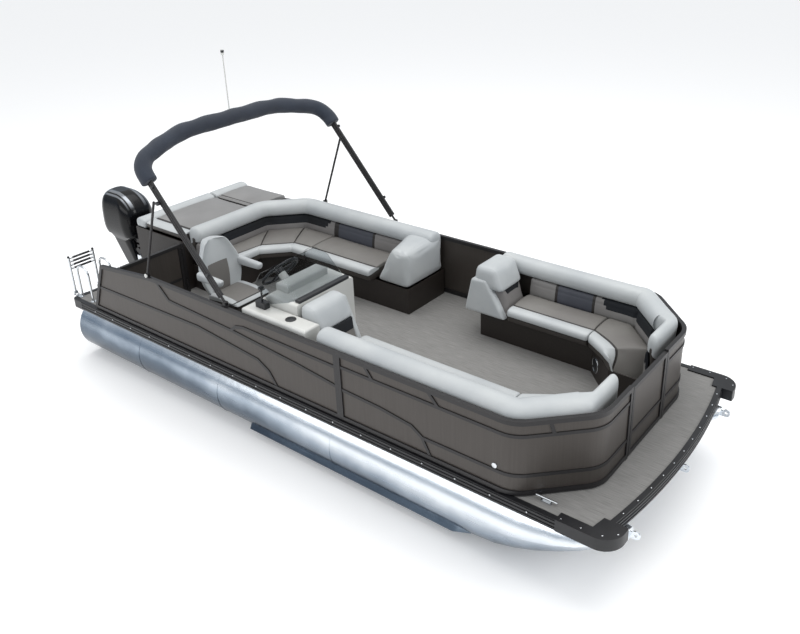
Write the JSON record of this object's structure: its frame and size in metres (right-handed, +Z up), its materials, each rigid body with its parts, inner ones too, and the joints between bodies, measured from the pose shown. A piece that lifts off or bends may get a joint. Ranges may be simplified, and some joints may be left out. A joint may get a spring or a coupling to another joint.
{
  "type": "pontoon boat",
  "caption": "Flat-decked pontoon boat on round aluminium tubes, with fenced cockpit, lounges, helm console, folding bimini, boarding ladder and tilting outboard motor.",
  "frame": {"origin": "on the floor under the centre tube's keel, at the middle of the deck's length", "axes": "+X to the bow, +Y to port, +Z up"},
  "size_m": [7.7212, 2.6456, 3.4629],
  "materials": {
    "mill_aluminium": "bright mill finish",
    "channel_aluminium": "mill finish",
    "deck_vinyl": "woven vinyl",
    "rail_black": "ribbed extrusion",
    "fence_charcoal": "satin powder coat",
    "fence_bronze": "satin coat",
    "base_plastic": "moulded",
    "seat_vinyl": "soft vinyl",
    "bolster_vinyl": "soft vinyl",
    "sunpad_vinyl": "soft vinyl",
    "console_gelcoat": "gelcoat",
    "smoked_acrylic": "tinted",
    "black_plastic": "moulded",
    "stainless": "polished",
    "motor_black": "gloss paint",
    "cowl_gloss": "gloss paint",
    "engine_block": "cast",
    "propeller_metal": "brushed",
    "boot_canvas": "woven canvas",
    "light_pole_white": "moulded"
  },
  "bodies": {
    "hull": {"tube_port": "mill_aluminium", "tube_centre": "mill_aluminium", "tube_starboard": "mill_aluminium", "cross_channels": "channel_aluminium", "deck_board": "deck_vinyl", "rub_rail": "rail_black", "fence_frame_port": "fence_charcoal", "fence_frame_starboard": "fence_charcoal", "fence_panels_port": "fence_bronze", "fence_panels_starboard": "fence_bronze", "stern_gate_posts": "fence_charcoal", "aft_lounge_base": "base_plastic", "aft_seat_fixed": "seat_vinyl", "aft_lounge_back": "bolster_vinyl", "sunpad_base": "base_plastic", "port_bow_base": "base_plastic", "port_bow_seat": "seat_vinyl", "port_bow_back": "bolster_vinyl", "starboard_bow_base": "base_plastic", "starboard_bow_seat": "seat_vinyl", "starboard_bow_back": "bolster_vinyl", "console": "console_gelcoat", "console_shelf": "console_gelcoat", "windscreen": "smoked_acrylic", "throttle": "black_plastic", "chair_pedestal": "channel_aluminium", "bimini_feet": "black_plastic", "ladder_feet": "stainless", "motor_pod": "mill_aluminium", "outboard_clamp": "motor_black", "cleats": "stainless"},
    "aft_locker_lid": {"aft_seat_lid": "seat_vinyl"},
    "sunpad_hatch": {"sunpad_lid": "sunpad_vinyl"},
    "port_bow_locker_lid": {"port_bow_lid": "seat_vinyl"},
    "starboard_bow_locker_lid": {"starboard_bow_lid": "seat_vinyl"},
    "bow_gate": {"bow_gate_frame": "fence_charcoal", "bow_gate_panel": "fence_bronze"},
    "stern_gate": {"stern_gate_frame": "fence_charcoal", "stern_gate_panel": "fence_bronze"},
    "steering_wheel": {"helm_wheel": "black_plastic"},
    "helm_chair": {"chair_pan": "base_plastic", "chair_cushions": "bolster_vinyl"},
    "bimini": {"bimini_frame": "fence_charcoal", "bimini_boot": "boot_canvas", "light_pole": "light_pole_white"},
    "bimini_strut_port": {"strut_port": "fence_charcoal"},
    "bimini_strut_starboard": {"strut_starboard": "fence_charcoal"},
    "boarding_ladder": {"ladder": "stainless"},
    "motor_swivel": {"outboard_swivel": "motor_black"},
    "motor": {"outboard_leg": "motor_black", "outboard_cowl": "cowl_gloss", "outboard_engine": "engine_block"},
    "motor_propeller": {"propeller": "propeller_metal"}
  },
  "joints": [
    {"name": "motor_tilt", "type": "hinge", "parent": "hull", "child": "motor_swivel", "pos_m": [-3.67, 0, 0.862], "axis": [0, 1, 0], "range_deg": [-4, 44]},
    {"name": "motor_steer", "type": "hinge", "parent": "motor_swivel", "child": "motor", "pos_m": [-3.79, 0, 0.862], "axis": [0, 0, 1], "range_deg": [-30, 30]},
    {"name": "propeller_spin", "type": "hinge", "parent": "motor", "child": "motor_propeller", "pos_m": [-3.79, 0, 0.152], "axis": [1, 0, 0], "continuous": true},
    {"name": "helm_wheel_turn", "type": "hinge", "parent": "hull", "child": "steering_wheel", "pos_m": [-0.445, -0.72, 1.6425], "axis": [-0.7431, 0, 0.6691], "range_deg": [-720, 720]},
    {"name": "chair_swivel", "type": "hinge", "parent": "hull", "child": "helm_chair", "pos_m": [-1.07, -0.745, 1.1375], "axis": [0, 0, 1], "continuous": true},
    {"name": "bow_gate_swing", "type": "hinge", "parent": "hull", "child": "bow_gate", "pos_m": [2.936, -0.326, 1.0575], "axis": [0, 0, 1], "range_deg": [0, 90]},
    {"name": "stern_gate_swing", "type": "hinge", "parent": "hull", "child": "stern_gate", "pos_m": [-2.352, -0.44, 1.0575], "axis": [0, 0, 1], "range_deg": [0, 90]},
    {"name": "bimini_fold", "type": "hinge", "parent": "hull", "child": "bimini", "pos_m": [-0.65, 0, 1.4635], "axis": [0, 1, 0], "range_deg": [-34, 61]},
    {"name": "strut_port_fold", "type": "hinge", "parent": "hull", "child": "bimini_strut_port", "pos_m": [-1.78, 1.272, 1.4635], "axis": [0, 1, 0], "range_deg": [-110, 0]},
    {"name": "strut_starboard_fold", "type": "hinge", "parent": "hull", "child": "bimini_strut_starboard", "pos_m": [-1.78, -1.272, 1.4635], "axis": [0, 1, 0], "range_deg": [-110, 0]},
    {"name": "ladder_fold", "type": "hinge", "parent": "hull", "child": "boarding_ladder", "pos_m": [-3.385, -1.06, 0.7875], "axis": [0, 1, 0], "range_deg": [-170, 0]},
    {"name": "aft_lid_lift", "type": "hinge", "parent": "hull", "child": "aft_locker_lid", "pos_m": [-0.91, 1.019, 1.1875], "axis": [-1, 0, 0], "range_deg": [0, 60]},
    {"name": "port_bow_lid_lift", "type": "hinge", "parent": "hull", "child": "port_bow_locker_lid", "pos_m": [1.66, 1.004, 1.1875], "axis": [-1, 0, 0], "range_deg": [0, 60]},
    {"name": "starboard_bow_lid_lift", "type": "hinge", "parent": "hull", "child": "starboard_bow_locker_lid", "pos_m": [1.66, -1.004, 1.1875], "axis": [1, 0, 0], "range_deg": [0, 60]},
    {"name": "sunpad_lift", "type": "hinge", "parent": "hull", "child": "sunpad_hatch", "pos_m": [-2.406, 0.4, 1.4375], "axis": [0, 1, 0], "range_deg": [0, 50]}
  ],
  "couplings": [
    {"joint": "helm_wheel_turn", "follows": "motor_steer", "ratio": -24}
  ]
}
